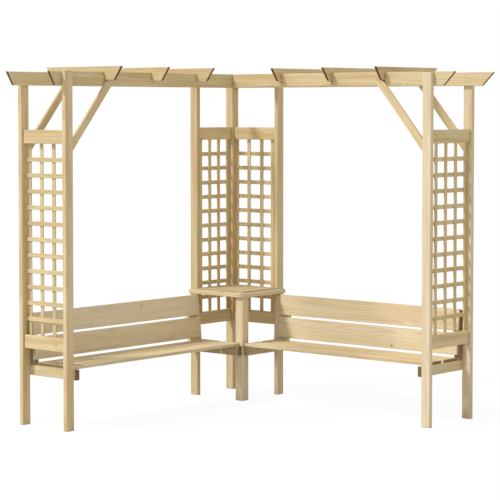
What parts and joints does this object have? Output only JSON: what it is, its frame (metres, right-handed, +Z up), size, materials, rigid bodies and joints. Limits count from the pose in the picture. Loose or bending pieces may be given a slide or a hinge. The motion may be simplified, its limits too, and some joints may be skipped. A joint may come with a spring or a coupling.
{
  "type": "corner arbour seat",
  "caption": "L-shaped garden arbour in treated pine: benches that meet at a square corner table, under beams and notched rafters, with trellis ends.",
  "frame": {"origin": "the middle of the bounding box's footprint, on the ground that the posts stand on", "axes": "+Z up; +X from the corner post along the right-hand bench, as seen from the open front; the left-hand bench runs along -Y, so the open front faces +X and -Y"},
  "size_m": [2.158, 2.118, 2.072],
  "materials": {
    "post_pine": "sawn, pressure treated",
    "roof_pine": "sawn, pressure treated",
    "trellis_pine": "sawn, pressure treated",
    "bench_pine": "planed, pressure treated",
    "table_pine": "planed, pressure treated"
  },
  "bodies": {
    "root": {"corner_post": "post_pine", "left_back_beam": "roof_pine", "left_back_brace": "roof_pine", "left_backrest_inner_batten": "bench_pine", "left_backrest_lower_board": "bench_pine", "left_backrest_outer_batten": "bench_pine", "left_backrest_upper_board": "bench_pine", "left_corner_bottom_rail": "trellis_pine", "left_corner_lattice": "trellis_pine", "left_corner_top_rail": "trellis_pine", "left_end_back_post": "post_pine", "left_end_bottom_rail": "trellis_pine", "left_end_front_post": "post_pine", "left_end_lattice": "trellis_pine", "left_end_top_rail": "trellis_pine", "left_front_beam": "roof_pine", "left_front_brace": "roof_pine", "left_inner_post": "post_pine", "left_inner_rafter": "roof_pine", "left_middle_rafter": "roof_pine", "left_outer_rafter": "roof_pine", "left_seat_back_slat": "bench_pine", "left_seat_front_slat": "bench_pine", "left_seat_inner_bearer": "bench_pine", "left_seat_outer_bearer": "bench_pine", "right_back_beam": "roof_pine", "right_back_brace": "roof_pine", "right_backrest_inner_batten": "bench_pine", "right_backrest_lower_board": "bench_pine", "right_backrest_outer_batten": "bench_pine", "right_backrest_upper_board": "bench_pine", "right_corner_bottom_rail": "trellis_pine", "right_corner_lattice": "trellis_pine", "right_corner_top_rail": "trellis_pine", "right_end_back_post": "post_pine", "right_end_bottom_rail": "trellis_pine", "right_end_front_post": "post_pine", "right_end_lattice": "trellis_pine", "right_end_top_rail": "trellis_pine", "right_front_beam": "roof_pine", "right_front_brace": "roof_pine", "right_inner_post": "post_pine", "right_inner_rafter": "roof_pine", "right_middle_rafter": "roof_pine", "right_outer_rafter": "roof_pine", "right_seat_back_slat": "bench_pine", "right_seat_front_slat": "bench_pine", "right_seat_inner_bearer": "bench_pine", "right_seat_outer_bearer": "bench_pine", "table_back_batten": "table_pine", "table_board_1": "table_pine", "table_board_2": "table_pine", "table_board_3": "table_pine", "table_front_batten": "table_pine", "table_front_rail": "table_pine", "table_post": "post_pine", "table_side_rail": "table_pine"}
  },
  "joints": []
}
